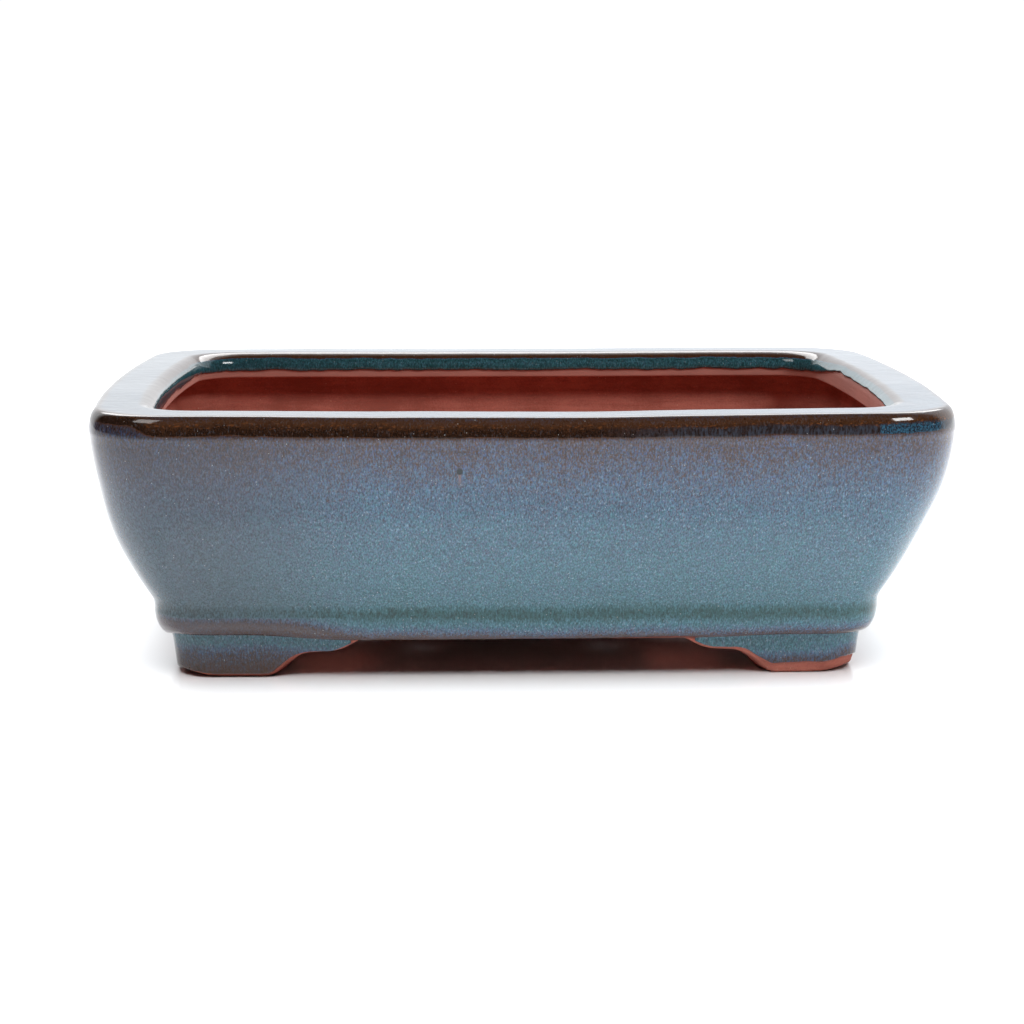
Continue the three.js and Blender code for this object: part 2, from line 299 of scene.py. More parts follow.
@lru_cache(maxsize=None)
def pot_profile():
    """The glazed line from under the belt, up the wall, over the rim and down the inside of the lip."""
    shape = sizes()
    points = [(FOOT_TOP_INSET + 1.5 * MM, BELT_LOW)]
    points += ellipse((FOOT_TOP_INSET - 0.1 * MM, BELT_LOW + 0.9 * MM), 0.7 * MM, 0.9 * MM, 270, 215, 4)
    points += [(BELT_INSET + reach * MM, height * MM) for reach, height in (
        (2.75, 10.35), (2.4, 10.95), (2.05, 11.6), (1.75, 12.4), (1.5, 13.3), (1.32, 14.3), (1.2, 15.2),
        (1.14, 15.8), (1.13, 16.3), (1.15, 16.8), (1.12, 17.3), (1.06, 17.8), (0.99, 18.4)
    )]
    wall_low = 19.4 * MM
    wall_high = RIM_TOP - 5.9 * MM
    wall_levels = 20
    for i in range(wall_levels + 1):
        height = wall_low + (wall_high - wall_low) * i / wall_levels
        points.append((wall_inset(height), height))
    edge_reach = 2.4 * MM
    edge_rise = 5.6 * MM
    outer_inset = wall_inset(wall_high) - 0.06 * MM
    points += ellipse((outer_inset + edge_reach, RIM_TOP - edge_rise), edge_reach, edge_rise, 180, 90, 16, 2.1)
    inner_edge = 3.9 * MM
    flat_start = points[-1][0]
    flat_end = shape.lip_width - inner_edge
    points += [(flat_start + (flat_end - flat_start) * i / 6, RIM_TOP) for i in range(1, 6)]
    points += ellipse((flat_end, RIM_TOP - inner_edge), inner_edge, inner_edge, 90, 0, 14)
    points += [(shape.lip_width, LIP_LOW + rise * MM) for rise in (2.2, 1.3)]
    points += ellipse((shape.lip_width - 1.0 * MM, LIP_LOW + 0.4 * MM), 1.0 * MM, 1.0 * MM, 0, -90, 5)
    return Profile(points)


# --- Modelling by hand ---


def start_ring(name, points):
    """Adds a circle with a vertex for each point, puts it on the points and stays in edit mode."""
    bpy.ops.object.select_all(action="DESELECT")
    bpy.ops.mesh.primitive_circle_add(vertices=len(points), radius=HALF_WIDTH)
    piece = bpy.context.object
    piece.name = name
    piece.data.name = name
    column = piece.data.attributes.new("column", "INT", "POINT")
    column.data.foreach_set("value", range(len(points)))
    bpy.ops.object.mode_set(mode="EDIT")
    bpy.ops.mesh.select_all(action="SELECT")
    place_ring(piece, points)
    return piece


def place_ring(piece, points):
    """Puts the newest ring, which is selected, on its points."""
    mesh = bmesh.from_edit_mesh(piece.data)
    column = mesh.verts.layers.int["column"]
    mesh.verts.ensure_lookup_table()
    for vertex in mesh.verts[-len(points):]:
        vertex.co = points[vertex[column]]
    bmesh.update_edit_mesh(piece.data)


def extrude_rings(piece, rings):
    """Extrudes the selected ring on to each of the next ones."""
    for ring in rings:
        bpy.ops.mesh.extrude_edges_move()
        place_ring(piece, ring)


def close_section(piece):
    """Merges the last ring into the first, turns every face outwards and leaves edit mode."""
    bpy.ops.mesh.select_all(action="SELECT")
    bpy.ops.mesh.remove_doubles(threshold=1e-7)
    bpy.ops.mesh.normals_make_consistent(inside=False)
    bpy.ops.object.mode_set(mode="OBJECT")


def loft(name, rings):
    """A closed body: a ring extruded through all its places and back to the first."""
    piece = start_ring(name, rings[0])
    extrude_rings(piece, [*rings[1:], rings[0]])
    close_section(piece)
    return piece


def section_rings(section):
    """The rings of a section, which is a closed line of (inset, height) points, carried round the pot."""
    return [[spot(column, inset, height) for column in range(len(outline(0.0)))] for inset, height in section]


def mitre_planes():
    """A point on each corner's mitre and the way that the rim runs there, anticlockwise from +X +Y."""
    fineness = bpy.context.scene.pot_mesh
    quarter = fineness.end_columns + fineness.corner_columns + fineness.front_columns
    rim = outline(0.0)
    first = fineness.end_columns + fineness.corner_columns // 2
    places = [first, 2 * quarter - first, 2 * quarter + first, 4 * quarter - first]
    planes = []
    for place in places:
        run = (rim[place + 1] - rim[place - 1]).normalized()
        planes.append((Vector((*rim[place], 0.0)), Vector((*run, 0.0))))
    return planes


def only(piece):
    """Makes a piece the one that is selected and active."""
    bpy.ops.object.select_all(action="DESELECT")
    piece.select_set(True)
    bpy.context.view_layer.objects.active = piece


def copy_of(piece, name):
    """A copy of a piece with its own mesh."""
    only(piece)
    bpy.ops.object.duplicate()
    copy = bpy.context.object
    copy.name = name
    copy.data.name = name
    return copy


def discard(piece):
    only(piece)
    bpy.ops.object.delete()


def mitred(ring, suffix):
    """Cuts a whole ring into its four sides, each closed at its two mitres, and returns them by side."""
    planes = mitre_planes()
    pieces = {}
    for i, side in enumerate(SIDES):
        piece = copy_of(ring, f"{side}_{suffix}")
        bpy.ops.object.mode_set(mode="EDIT")
        for (point, run), keeps_ahead in ((planes[i], True), (planes[(i + 1) % 4], False)):
            bpy.ops.mesh.select_all(action="SELECT")
            bpy.ops.mesh.bisect(
                plane_co=point, plane_no=run, use_fill=True, clear_inner=keeps_ahead, clear_outer=not keeps_ahead
            )
        bpy.ops.mesh.select_all(action="SELECT")
        bpy.ops.mesh.normals_make_consistent(inside=False)
        bpy.ops.object.mode_set(mode="OBJECT")
        pieces[side] = piece
    discard(ring)
    return pieces


def finish_piece(piece, material, slot, *nodes, sharp=None):
    """Settles and shades a piece, gives it its material and ties it to the frame."""
    only(piece)
    settle(piece)
    if "column" in piece.data.attributes:
        piece.data.attributes.remove(piece.data.attributes["column"])
    if sharp is None:
        bpy.ops.object.shade_smooth()
    else:
        bpy.ops.object.shade_smooth_by_angle(angle=math.radians(sharp))
    piece.data.materials.clear()
    piece.data.materials.append(material)
    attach(piece, BODY)
    if nodes:
        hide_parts(*nodes)


def smooth(low, high, value):
    """0 below low, 1 above high, and a smooth step between."""
    share = min(max((value - low) / (high - low), 0.0), 1.0)
    return share * share * (3 - 2 * share)


def settled(point):
    """Where a point of the ideal pot lies on the fired one, which the kiln has sagged and bent a little."""
    shape = sizes()
    height = smooth(0.35 * RIM_TOP, RIM_TOP, point.z)
    front = smooth(0.2, 0.9, -point.y / HALF_WIDTH)
    rear = smooth(0.2, 0.9, point.y / HALF_WIDTH)
    middle = math.exp(-((point.x / (0.62 * HALF_LENGTH)) ** 2))
    sag = shape.sag * (front * middle + 0.35 * rear * middle)
    right = smooth(-0.3, 0.3, point.x / HALF_LENGTH)
    lean = -LEAN * (1 - smooth(0.48, 0.78, point.z / RIM_TOP))
    over_foot = smooth(40 * MM, 66 * MM, abs(point.x)) * (0.25 + 0.75 * smooth(50 * MM, 58 * MM, abs(point.y)))
    by_belt = smooth(3 * MM, 9.5 * MM, point.z) * (1 - smooth(9.5 * MM, 16.5 * MM, point.z))
    rise = (LEFT_RISE - RISE_DROP * right) * MM * over_foot * by_belt
    wave = 0.12 * MM * (noise.noise(Vector((point.x, point.y, 0)) / (34 * MM)) - 0.4)
    place = point / (60 * MM)
    bend = Vector((noise.noise(place), noise.noise(place + Vector((5.2, 1.7, 9.1))))) * 0.14 * MM
    return Vector((point.x + lean + bend.x * height, point.y + bend.y * height, point.z + rise + (wave - sag) * height))


def settle(piece):
    """Bends a piece as the kiln has bent the pot."""
    for vertex in piece.data.vertices:
        vertex.co = settled(vertex.co)
    piece.data.update()


# --- Nodes ---


class Shader:
    """Builds a material's nodes. Each call adds a node and gives its first output."""

    def __init__(self, name):
        self.material = bpy.data.materials.new(name)
        self.material.use_nodes = True
        self.tree = self.material.node_tree
        self.surface = self.tree.nodes["Principled BSDF"]
        self.place = self.add("ShaderNodeTexCoord").outputs["Object"]

    def add(self, kind, **settings):
        node = self.tree.nodes.new(kind)
        for name, value in settings.items():
            setattr(node, name, value)
        return node

    def put(self, socket, value):
        if isinstance(value, bpy.types.NodeSocket):
            self.tree.links.new(value, socket)
        else:
            socket.default_value = value

    def stretched(self, stretch):
        """Object coordinates, longer along an axis whose stretch is above 1."""
        node = self.add("ShaderNodeMapping")
        self.put(node.inputs["Vector"], self.place)
        node.inputs["Scale"].default_value = [1 / share for share in stretch]
        return node.outputs[0]

    def noise(self, size, detail=2.0, roughness=0.5, stretch=(1, 1, 1)):
        """Noise whose lumps are about this size in metres."""
        node = self.add("ShaderNodeTexNoise")
        self.put(node.inputs["Vector"], self.stretched(stretch))
        for name, number in (("Scale", 1 / size), ("Detail", detail), ("Roughness", roughness)):
            node.inputs[name].default_value = number
        return node.outputs["Fac"]

    def specks(self, size, radius, stretch=(1, 1, 1), keep=0.5):
        """1 in scattered round specks, each in a cell of this size; keep is the share of cells that have one."""
        node = self.add("ShaderNodeTexVoronoi")
        self.put(node.inputs["Vector"], self.stretched(stretch))
        node.inputs["Scale"].default_value = 1 / size
        chosen = self.math("LESS_THAN", self.red(node.outputs["Color"]), keep)
        return self.product(self.fade(node.outputs["Distance"], radius, radius * 0.6), chosen)

    def red(self, value):
        """The red part of a colour."""
        node = self.add("ShaderNodeSeparateColor")
        self.put(node.inputs[0], value)
        return node.outputs[0]

    def grey(self, value):
        """A grey whose three parts are the value."""
        node = self.add("ShaderNodeCombineColor")
        for socket in node.inputs:
            self.put(socket, value)
        return node.outputs[0]

    def axis(self, name):
        node = self.add("ShaderNodeSeparateXYZ")
        self.put(node.inputs[0], self.place)
        return node.outputs[name]

    def attribute(self, name):
        return self.add("ShaderNodeAttribute", attribute_name=name).outputs["Fac"]

    def math(self, operation, first, second=0.0, third=0.0):
        node = self.add("ShaderNodeMath", operation=operation)
        for socket, value in zip(node.inputs, (first, second, third)):
            self.put(socket, value)
        return node.outputs[0]

    def product(self, first, *others):
        for other in others:
            first = self.math("MULTIPLY", first, other)
        return first

    def swing(self, value, reach, base):
        """The base, moved up and down by a noise: by the reach times how far the noise is from a half."""
        return self.math("MULTIPLY_ADD", self.math("SUBTRACT", value, 0.5), reach, base)

    def fade(self, value, low, high, to_low=0.0, to_high=1.0):
        """Maps low to to_low and high to to_high, smoothly, and holds them beyond."""
        node = self.add("ShaderNodeMapRange", interpolation_type="SMOOTHSTEP")
        for name, number in (
            ("Value", value), ("From Min", low), ("From Max", high), ("To Min", to_low), ("To Max", to_high)
        ):
            self.put(node.inputs[name], number)
        return node.outputs[0]

    def ramp(self, value, stops):
        """A colour for each value, from (position, colour) stops."""
        node = self.add("ShaderNodeValToRGB")
        self.put(node.inputs[0], value)
        elements = node.color_ramp.elements
        while len(elements) < len(stops):
            elements.new(0.5)
        for element, (position, tint) in zip(elements, stops):
            element.position = position
            element.color = (*tint, 1)
        return node.outputs[0]

    def mix(self, share, first, second, blend="MIX"):
        node = self.add("ShaderNodeMix", data_type="RGBA", blend_type=blend)
        self.put(node.inputs[0], share)
        for socket, value in ((node.inputs[6], first), (node.inputs[7], second)):
            self.put(socket, value if isinstance(value, bpy.types.NodeSocket) else (*value, 1))
        return node.outputs[2]

    def bump(self, height, distance, normal=None):
        node = self.add("ShaderNodeBump")
        node.inputs["Distance"].default_value = distance
        self.put(node.inputs["Height"], height)
        if normal is not None:
            self.put(node.inputs["Normal"], normal)
        return node.outputs[0]


THICKNESS = (
    # mm up the pot, and how thick the glaze looks there; above RIM_TOP it goes on over the rim and down the inside
    (0.0, 0.08), (3.0, 0.14), (5.4, 0.20), (6.7, 0.42), (7.6, 0.62), (9.35, 0.68),
    (9.5, 0.13), (10.7, 0.18), (12.8, 0.55), (14.2, 0.72), (15.6, 0.95), (16.8, 0.95),
    (17.6, 0.82), (18.8, 0.68), (21.0, 0.62), (40.0, 0.50), (48.0, 0.40), (54.0, 0.28), (58.0, 0.21), (61.2, 0.17),
    # From 61.4 to 66.1 mm the rim's brown band goes from the darkest brown at its foot to lighter brown at its top:
    # partly thin glaze breaking over the edge, partly painted light on the top that faces up.
    (61.4, 0.00), (63.2, 0.02), (64.4, 0.08), (66.1, 0.14), (66.9, 0.36), (70.3, 0.36),
    (71.2, 0.14), (75.6, 0.07), (76.1, 0.93), (77.6, 0.74), (79.8, 0.90),
)
THICKNESS_SPAN = 80.0
FEET_END, BELT_START = 9.4, 9.5  # mm up the pot: below the first it's a foot's glaze, above the second the belt's
BAND_LOW, BAND_MIDDLE = 61.2, 63.1  # mm up the pot: the lower half of the rim's brown band
CRATER_X, CRATER_Z = -15.5 * MM, 52.8 * MM

ROYAL = (0.036, 0.080, 0.200)
BAND_VEIL_DARK, BAND_VEIL_PALE = (0.020, 0.013, 0.012), (0.040, 0.050, 0.070)
BLUE_RUN_DARK, BLUE_RUN_PALE = (0.012, 0.012, 0.016), (0.030, 0.105, 0.170)
TRACE, CRATER = (0.16, 0.10, 0.09), (0.002, 0.012, 0.016)
MILK, RUST = (0.50, 0.52, 0.52), (0.50, 0.20, 0.12)
PALE_GRIT, SOOT = (0.72, 0.42, 0.32), (0.12, 0.05, 0.04)
FLASHED_AND_LIT, PAINTED_UNDER_SHADE = (0.50, 0.245, 0.205), (0.10, 0.030, 0.022)


def glaze_depth(shader, along, height):
    """How high up the pot the glaze is read at each place, and how thick it looks there."""
    fade = shader.fade
    wander = shader.math("MULTIPLY_ADD", shader.noise(19 * MM), 1.8, -0.9)
    wander = shader.math("MULTIPLY_ADD", shader.noise(2.6 * MM, detail=1), 0.6, wander)
    wander = shader.math("SUBTRACT", wander, 0.3)
    thin_end = shader.product(fade(along, -85 * MM, -91 * MM, 0.0, 2.0), fade(height, 59, 60.5), fade(height, 67, 65))
    slip = shader.product(
        fade(along, -34 * MM, -60 * MM, 0.0, 3.6), fade(height, 16.4, 15.2), fade(height, FEET_END, BELT_START)
    )
    on_foot = shader.product(
        fade(along, -10 * MM, 30 * MM, 0.0, 1.7), fade(height, 9.3, 7.0), fade(along, 72 * MM, 79 * MM, 1.0, 0.15)
    )
    level = shader.math("SUBTRACT", shader.math("SUBTRACT", height, thin_end), slip)
    level = shader.math("ADD", level, on_foot)
    calm = fade(height, FEET_END, 10.0)
    level = shader.math("MULTIPLY_ADD", wander, shader.math("MULTIPLY_ADD", calm, 0.55, 0.35), level)
    level = shader.math("MAXIMUM", level, fade(height, FEET_END, BELT_START, 0.0, 9.9))
    level = shader.math("MINIMUM", level, fade(height, BELT_START, FEET_END, 100.0, 9.3))
    depth = shader.red(shader.ramp(
        shader.math("DIVIDE", level, THICKNESS_SPAN),
        [(mm / THICKNESS_SPAN, (thickness,) * 3) for mm, thickness in THICKNESS],
    ))
    return level, shader.math("MINIMUM", depth, fade(along, -62 * MM, -22 * MM, 0.80, 1.0))


def glaze_body(shader, along, height, depth, fur, speckle):
    """The glaze's colour by its depth, with streaks, flecks, crystals and a left end that is greyer and darkened with
    painted shade.
    """
    glaze = bpy.context.scene.pot_glaze
    fade = shader.fade
    cloud = shader.noise(9 * MM, detail=3, roughness=0.6, stretch=(1, 1, 1.6))
    spread = shader.product(shader.math("SUBTRACT", fur, 0.5), 0.8)
    spread = shader.swing(cloud, 0.22, shader.swing(speckle, 0.95, spread))
    body = shader.ramp(shader.math("MULTIPLY_ADD", spread, fade(depth, 0.04, 0.26, 0.12, 1.0), depth), [
        (0.0, glaze.dark), (0.09, glaze.thin), (0.22, glaze.veil), (0.42, glaze.middle), (0.66, glaze.thick),
        (0.97, glaze.pooled),
    ])
    fleck = fade(shader.noise(0.42 * MM, stretch=(1, 1, 2.6)), 0.53, 0.66)
    fleck = shader.product(fleck, fade(depth, 0.75, 0.25, 0.10, 0.6), fade(depth, 0.1, 0.2))
    body = shader.mix(fleck, body, glaze.veil)
    royal = fade(shader.noise(0.40 * MM, stretch=(1, 1, 1.7)), 0.52, 0.64, 0.0, 0.6)
    royal = shader.product(royal, fade(depth, 0.15, 0.2), fade(depth, 0.58, 0.3))
    body = shader.mix(royal, body, ROYAL)
    frost = fade(shader.noise(0.36 * MM, stretch=(1, 1, 2)), 0.56, 0.70)
    frost = shader.product(frost, fade(depth, 0.14, 0.45, 0.10, 0.45), fade(depth, 0.95, 0.6))
    body = shader.mix(frost, body, glaze.frost)
    # Towards the left end the glaze turns to the mauve veil: partly a greyer glaze, partly painted shade on the end
    # that gets less light.
    grey_and_shaded_end = fade(along, -30 * MM, -80 * MM, 0.0, 0.42)
    body = shader.mix(shader.product(grey_and_shaded_end, fade(height, 60.5, 57), fade(height, 9.1, 12)), body, glaze.veil)
    shade = fade(shader.noise(0.34 * MM, roughness=0.6, stretch=(1, 1, 2.2)), 0.3, 0.7, 0.54, 1.46)
    # The fine mottle is darkened to 0.66 towards the left end: painted shade.
    shade = shader.grey(shader.product(shade, fade(along, -90 * MM, -25 * MM, 0.66, 1.0)))
    return shader.mix(fade(depth, 0.1, 0.2), body, shader.mix(1.0, body, shade, "MULTIPLY"))


def glaze_marks(shader, along, level, depth, fur, speckle, body):
    """The body with the marks that lie on it."""
    fade = shader.fade
    product = shader.product

    # On the right the lower half of the rim's brown band is veiled, and a blue run lies in it by the corner.
    low_band = product(fade(level, BAND_MIDDLE + 0.8, BAND_MIDDLE), fade(level, BAND_LOW, BAND_LOW + 0.2))
    veil = shader.mix(fade(fur, 0.4, 0.6), BAND_VEIL_DARK, BAND_VEIL_PALE)
    body = shader.mix(product(fade(along, 12 * MM, 45 * MM, 0.0, 0.75), low_band), body, veil)
    blue_run = product(fade(along, 80.6 * MM, 81.4 * MM), fade(along, 99 * MM, 95 * MM), low_band, 0.9)
    body = shader.mix(blue_run, body, shader.mix(fade(speckle, 0.40, 0.62), BLUE_RUN_DARK, BLUE_RUN_PALE))

    # A small crater in the front, from which a thin trace runs down.
    aside = shader.math("ABSOLUTE", shader.math("SUBTRACT", along, CRATER_X))
    above = shader.math("SUBTRACT", shader.axis("Z"), CRATER_Z)
    in_front = fade(shader.axis("Y"), -60 * MM, -65 * MM)
    away = shader.math("SQRT", shader.math("MULTIPLY_ADD", aside, aside, product(above, above)))
    trace = product(
        fade(aside, 0.45 * MM, 0.2 * MM), fade(above, -4.2 * MM, -1.5 * MM), fade(above, 0, -0.3 * MM), in_front, 0.7
    )
    body = shader.mix(trace, body, TRACE)
    body = shader.mix(product(fade(away, 0.85 * MM, 0.6 * MM), in_front), body, CRATER)

    # Rusty specks in the rim's brown band. The specks belong to the glaze, but they grow much denser towards the band's
    # top: painted light on the part that faces up.
    ember_and_top_light = fade(shader.noise(0.4 * MM, stretch=(2.5, 2.5, 1)), 0.55, 0.68)
    ember_and_top_light = product(ember_and_top_light, fade(depth, 0.11, 0.05), fade(level, 62.6, 64.2, 0.05, 0.85))
    body = shader.mix(ember_and_top_light, body, bpy.context.scene.pot_glaze.ember_and_top_light)
    body = shader.mix(product(shader.specks(1.0 * MM, 0.13, keep=0.16), 0.6), body, MILK)
    rust = shader.specks(9.0 * MM, 0.055, stretch=(1, 1, 1.4), keep=0.10)
    return shader.mix(product(rust, 0.8), body, RUST)


def glaze_material():
    """A glossy running glaze: brown where it breaks thin, mauve and blue on the walls, dark teal where it pools."""
    shader = Shader("running_glaze")
    along = shader.axis("X")
    height = shader.attribute("glaze_height")
    fur = shader.noise(0.5 * MM, detail=3, roughness=0.7, stretch=(1, 1, 4.5))
    speckle = shader.noise(0.3 * MM, roughness=0.65, stretch=(1, 1, 1.6))
    level, depth = glaze_depth(shader, along, height)
    body = glaze_body(shader, along, height, depth, fur, speckle)
    shader.put(shader.surface.inputs["Base Color"], glaze_marks(shader, along, level, depth, fur, speckle, body))
    gloss = bpy.context.scene.pot_glaze.roughness
    shader.put(shader.surface.inputs["Roughness"], shader.fade(speckle, 0.35, 0.75, gloss, gloss + 0.05))
    shader.surface.inputs["IOR"].default_value = 1.5
    peel = shader.bump(shader.noise(2.4 * MM, detail=1), 0.035 * MM)
    shader.put(shader.surface.inputs["Normal"], shader.bump(shader.noise(0.5 * MM), 0.008 * MM, peel))
    return shader.material


def clay_material():
    """Bare red clay, toasted in patches, with a fine grain and the drag marks of the potter's tool."""
    clay = bpy.context.scene.pot_clay
    shader = Shader("red_clay")
    fade = shader.fade
    patch = shader.noise(16 * MM, detail=4, roughness=0.6)
    grain = shader.noise(0.45 * MM, detail=3, roughness=0.7)
    drag = shader.noise(1.1 * MM, roughness=0.6, stretch=(14, 14, 1))
    toast = shader.swing(drag, 0.35, shader.swing(grain, 0.55, patch))
    body = shader.mix(fade(toast, 0.3, 0.72), clay.dark, clay.light)
    body = shader.mix(shader.product(shader.specks(1.9 * MM, 0.1, keep=0.35), 0.5), body, PALE_GRIT)
    body = shader.mix(shader.product(shader.specks(3.1 * MM, 0.06, keep=0.25), 0.6), body, SOOT)
    height = shader.axis("Z")
    # Paler, pinker clay on the strip just under the glaze's edge inside the lip: partly flashing from the glaze, partly
    # painted light on a strip that catches more light than the wall below it.
    body = shader.mix(fade(height, 58.2 * MM, 59.2 * MM, 0.0, 0.6), body, FLASHED_AND_LIT)
    # Darker clay from 8.6 to 10.9 mm up, over the slab's underside, the tops of the feet and the foot of the belt:
    # painted shade under the pot.
    painted_under_shade = shader.product(fade(height, 8.6 * MM, 9.3 * MM, 0.0, 0.75), fade(height, 10.9 * MM, 10.3 * MM))
    shader.put(shader.surface.inputs["Base Color"], shader.mix(painted_under_shade, body, PAINTED_UNDER_SHADE))
    shader.surface.inputs["Roughness"].default_value = clay.roughness
    shader.surface.inputs["Specular IOR Level"].default_value = 0.3
    marks = shader.bump(drag, 0.10 * MM)
    shader.put(shader.surface.inputs["Normal"], shader.bump(grain, 0.06 * MM, marks))
    return shader.material


def material(name, make):
    """A material, made the first time it's asked for."""
    return bpy.data.materials.get(name) or make()


def finish_clay(piece, node):
    """Finishes a clay member, which stands for its CAD node."""
    finish_piece(piece, material("red_clay", clay_material), "bare_clay", node, sharp=SHARP)


def finish_glaze(piece):
    finish_piece(piece, material("running_glaze", glaze_material), "glaze")


# --- The clay members ---


def under_coat(start, end):
    """The profile's points between two distances, a coat of glaze's thickness down in the clay."""
    profile = pot_profile()
    coat = bpy.context.scene.pot_glaze.coat
    inner = [d for d in profile.along if start < d < end]
    return [profile.at(d, coat) for d in (start, *inner, end)]


def inner_wall(height):
    return wall_inset(height) + sizes().wall


def lip_section():
    profile = pot_profile()
    start = profile.distance_at(LIP_LOW)
    outside = under_coat(start, profile.along[-1])
    seat_end = outside[0][0]
    under = [(outside[-1][0] - reach * MM, LIP_LOW) for reach in (2.0, 4.5)]
    return [*outside, *under, (seat_end, LIP_LOW)]


def wall_section():
    profile = pot_profile()
    outside = under_coat(profile.distance_at(SLAB_HIGH), profile.distance_at(LIP_LOW))
    fillet = 4 * MM
    levels = 22
    bottom = SLAB_HIGH + fillet
    inside = [LIP_LOW + (bottom - LIP_LOW) * i / levels for i in range(levels + 1)]
    inside = [(inner_wall(height), height) for height in inside]
    toe = ellipse((inner_wall(bottom) + fillet, bottom), fillet, fillet, 180, 270, 8)[1:]
    return [*outside, *inside, *toe]


class POT_OT_walls(bpy.types.Operator):
    """Model the four clay walls, mitred in the corners, with a fillet down to the floor"""

    bl_idname = "pot.walls"
    bl_label = "Walls"

    def execute(self, context):
        ring = loft("walls", section_rings(wall_section()))
        for side, piece in mitred(ring, "wall_clay").items():
            finish_clay(piece, f"{side}_wall")
        return {"FINISHED"}


class POT_OT_lips(bpy.types.Operator):
    """Model the four clay lip strips, mitred in the corners"""

    bl_idname = "pot.lips"
    bl_label = "Lip strips"

    def execute(self, context):
        ring = loft("lips", section_rings(lip_section()))
        for side, piece in mitred(ring, "lip_clay").items():
            finish_clay(piece, f"{side}_lip")
        return {"FINISHED"}


class POT_OT_floor(bpy.types.Operator):
    """Model the clay floor slab with its drain holes and tie-wire holes"""

    bl_idname = "pot.floor"
    bl_label = "Floor slab"

    def hole(self, slab, diameter, x, y, edge):
        """Cuts a hole through the slab and rounds its two edges."""
        bpy.ops.object.select_all(action="DESELECT")
        bpy.ops.mesh.primitive_cylinder_add(
            vertices=64, radius=diameter / 2, depth=4 * (SLAB_HIGH - BELT_LOW), location=(x, y, BELT_LOW)
        )
        cutter = bpy.context.object
        only(slab)
        cut = slab.modifiers.new("hole", "BOOLEAN")
        cut.operation = "DIFFERENCE"
        cut.object = cutter
        bpy.ops.object.modifier_apply(modifier=cut.name)
        discard(cutter)
        only(slab)
        bpy.ops.object.mode_set(mode="EDIT")
        bpy.ops.mesh.select_mode(type="EDGE")
        bpy.ops.mesh.select_all(action="DESELECT")
        mesh = bmesh.from_edit_mesh(slab.data)
        centre = Vector((x, y))
        for line in mesh.edges:
            flat = abs(line.verts[0].co.z - line.verts[1].co.z) < 1e-6
            line.select = flat and all(
                abs((vertex.co.xy - centre).length - diameter / 2) < 0.02 * MM for vertex in line.verts
            )
        mesh.select_flush(False)
        bmesh.update_edit_mesh(slab.data)
        bpy.ops.mesh.bevel(offset=edge, segments=4, affect="EDGES")
        bpy.ops.mesh.select_mode(type="VERT")
        bpy.ops.mesh.select_all(action="SELECT")
        bpy.ops.mesh.normals_make_consistent(inside=False)
        bpy.ops.object.mode_set(mode="OBJECT")

    def execute(self, context):
        shape = sizes()
        profile = pot_profile()
        top = profile.distance_at(SLAB_HIGH)
        coat = context.scene.pot_glaze.coat
        edge = under_coat(profile.along[1], top)
        toe = inner_wall(SLAB_HIGH + 4 * MM) + 4 * MM
        floor_drop = 0.5 * MM
        levels = [
            (edge[0][0] + 6 * MM, BELT_LOW),
            (edge[0][0] + coat, BELT_LOW),
            *[(inset, max(height, BELT_LOW + 0.1 * MM)) for inset, height in edge[1:]],
            (toe - 0.2 * MM, SLAB_HIGH),
            (toe + 1.2 * MM, SLAB_HIGH - floor_drop),
        ]
        rings = section_rings(levels)
        slab = start_ring("floor_slab_clay", rings[0])
        bpy.ops.mesh.edge_face_add()
        bpy.ops.mesh.select_mode(type="EDGE")
        extrude_rings(slab, rings[1:])
        bpy.ops.mesh.edge_face_add()
        bpy.ops.mesh.select_mode(type="VERT")
        close_section(slab)
        for x in (-1, 1):
            self.hole(slab, shape.drain_hole, x * shape.drain_spacing / 2, 0, 0.9 * MM)
            for y in (-1, 1):
                self.hole(slab, shape.wire_hole, x * shape.wire_spacing_x / 2, y * shape.wire_spacing_y / 2, 0.35 * MM)
        finish_clay(slab, "floor_slab")
        return {"FINISHED"}


# --- The feet ---


def gap_run(column):
    """How far a column lies inside the gap beside the nearest foot; below 0 it's on a foot's flat."""
    shape = sizes()
    ground_inset = FOOT_TOP_INSET + shape.foot_draft
    point = outline(round(ground_inset, 5))[column]
    front_run = HALF_LENGTH - ground_inset - shape.front_foot_run - abs(point.x)
    if point.x > 0:
        front_run += RIGHT_KNEE
    end_run = HALF_WIDTH - ground_inset - shape.end_foot_run - abs(point.y)
    return max(front_run, end_run)


SHOULDER = (
    # mm into the gap, and mm that the underside of the foot has risen there
    (-1.5, 0.0), (0.0, 0.25), (1.0, 1.1), (2.0, 2.1), (3.0, 2.95), (4.2, 3.85), (5.5, 4.6), (7.0, 5.25), (9.0, 5.7),
    (12.0, 5.9), (15.0, 6.15), (17.0, 6.7), (19.0, 7.7), (21.0, 8.8), (22.5, 9.8),
)


KNEE_SHIFT = 0.6  # mm that the shoulder's curve starts ahead of the gap
FOOT_CORNER = Vector((86, 58))  # mm, where a foot's outer corner stands in plan
CORNER_LIFT = 1.1  # mm that this corner is worn off the ground


@lru_cache(maxsize=None)
def shoulder(column):
    """How high a foot's underside stands at a column: the ground, a steep knee and a cloud-shaped shoulder."""
    run = gap_run(column) / MM + KNEE_SHIFT
    point = outline(round(FOOT_TOP_INSET, 5))[column]
    from_corner = Vector((abs(point.x) / MM, abs(point.y) / MM)) - FOOT_CORNER
    lift = CORNER_LIFT * math.exp(-from_corner.length_squared / 60)
    for (near, low), (far, high) in zip(SHOULDER, SHOULDER[1:]):
        if run <= far:
            share = min(max((run - near) / (far - near), 0.0), 1.0)
            return min(low + (high - low) * share + lift, BELT_LOW / MM) * MM
    return BELT_LOW


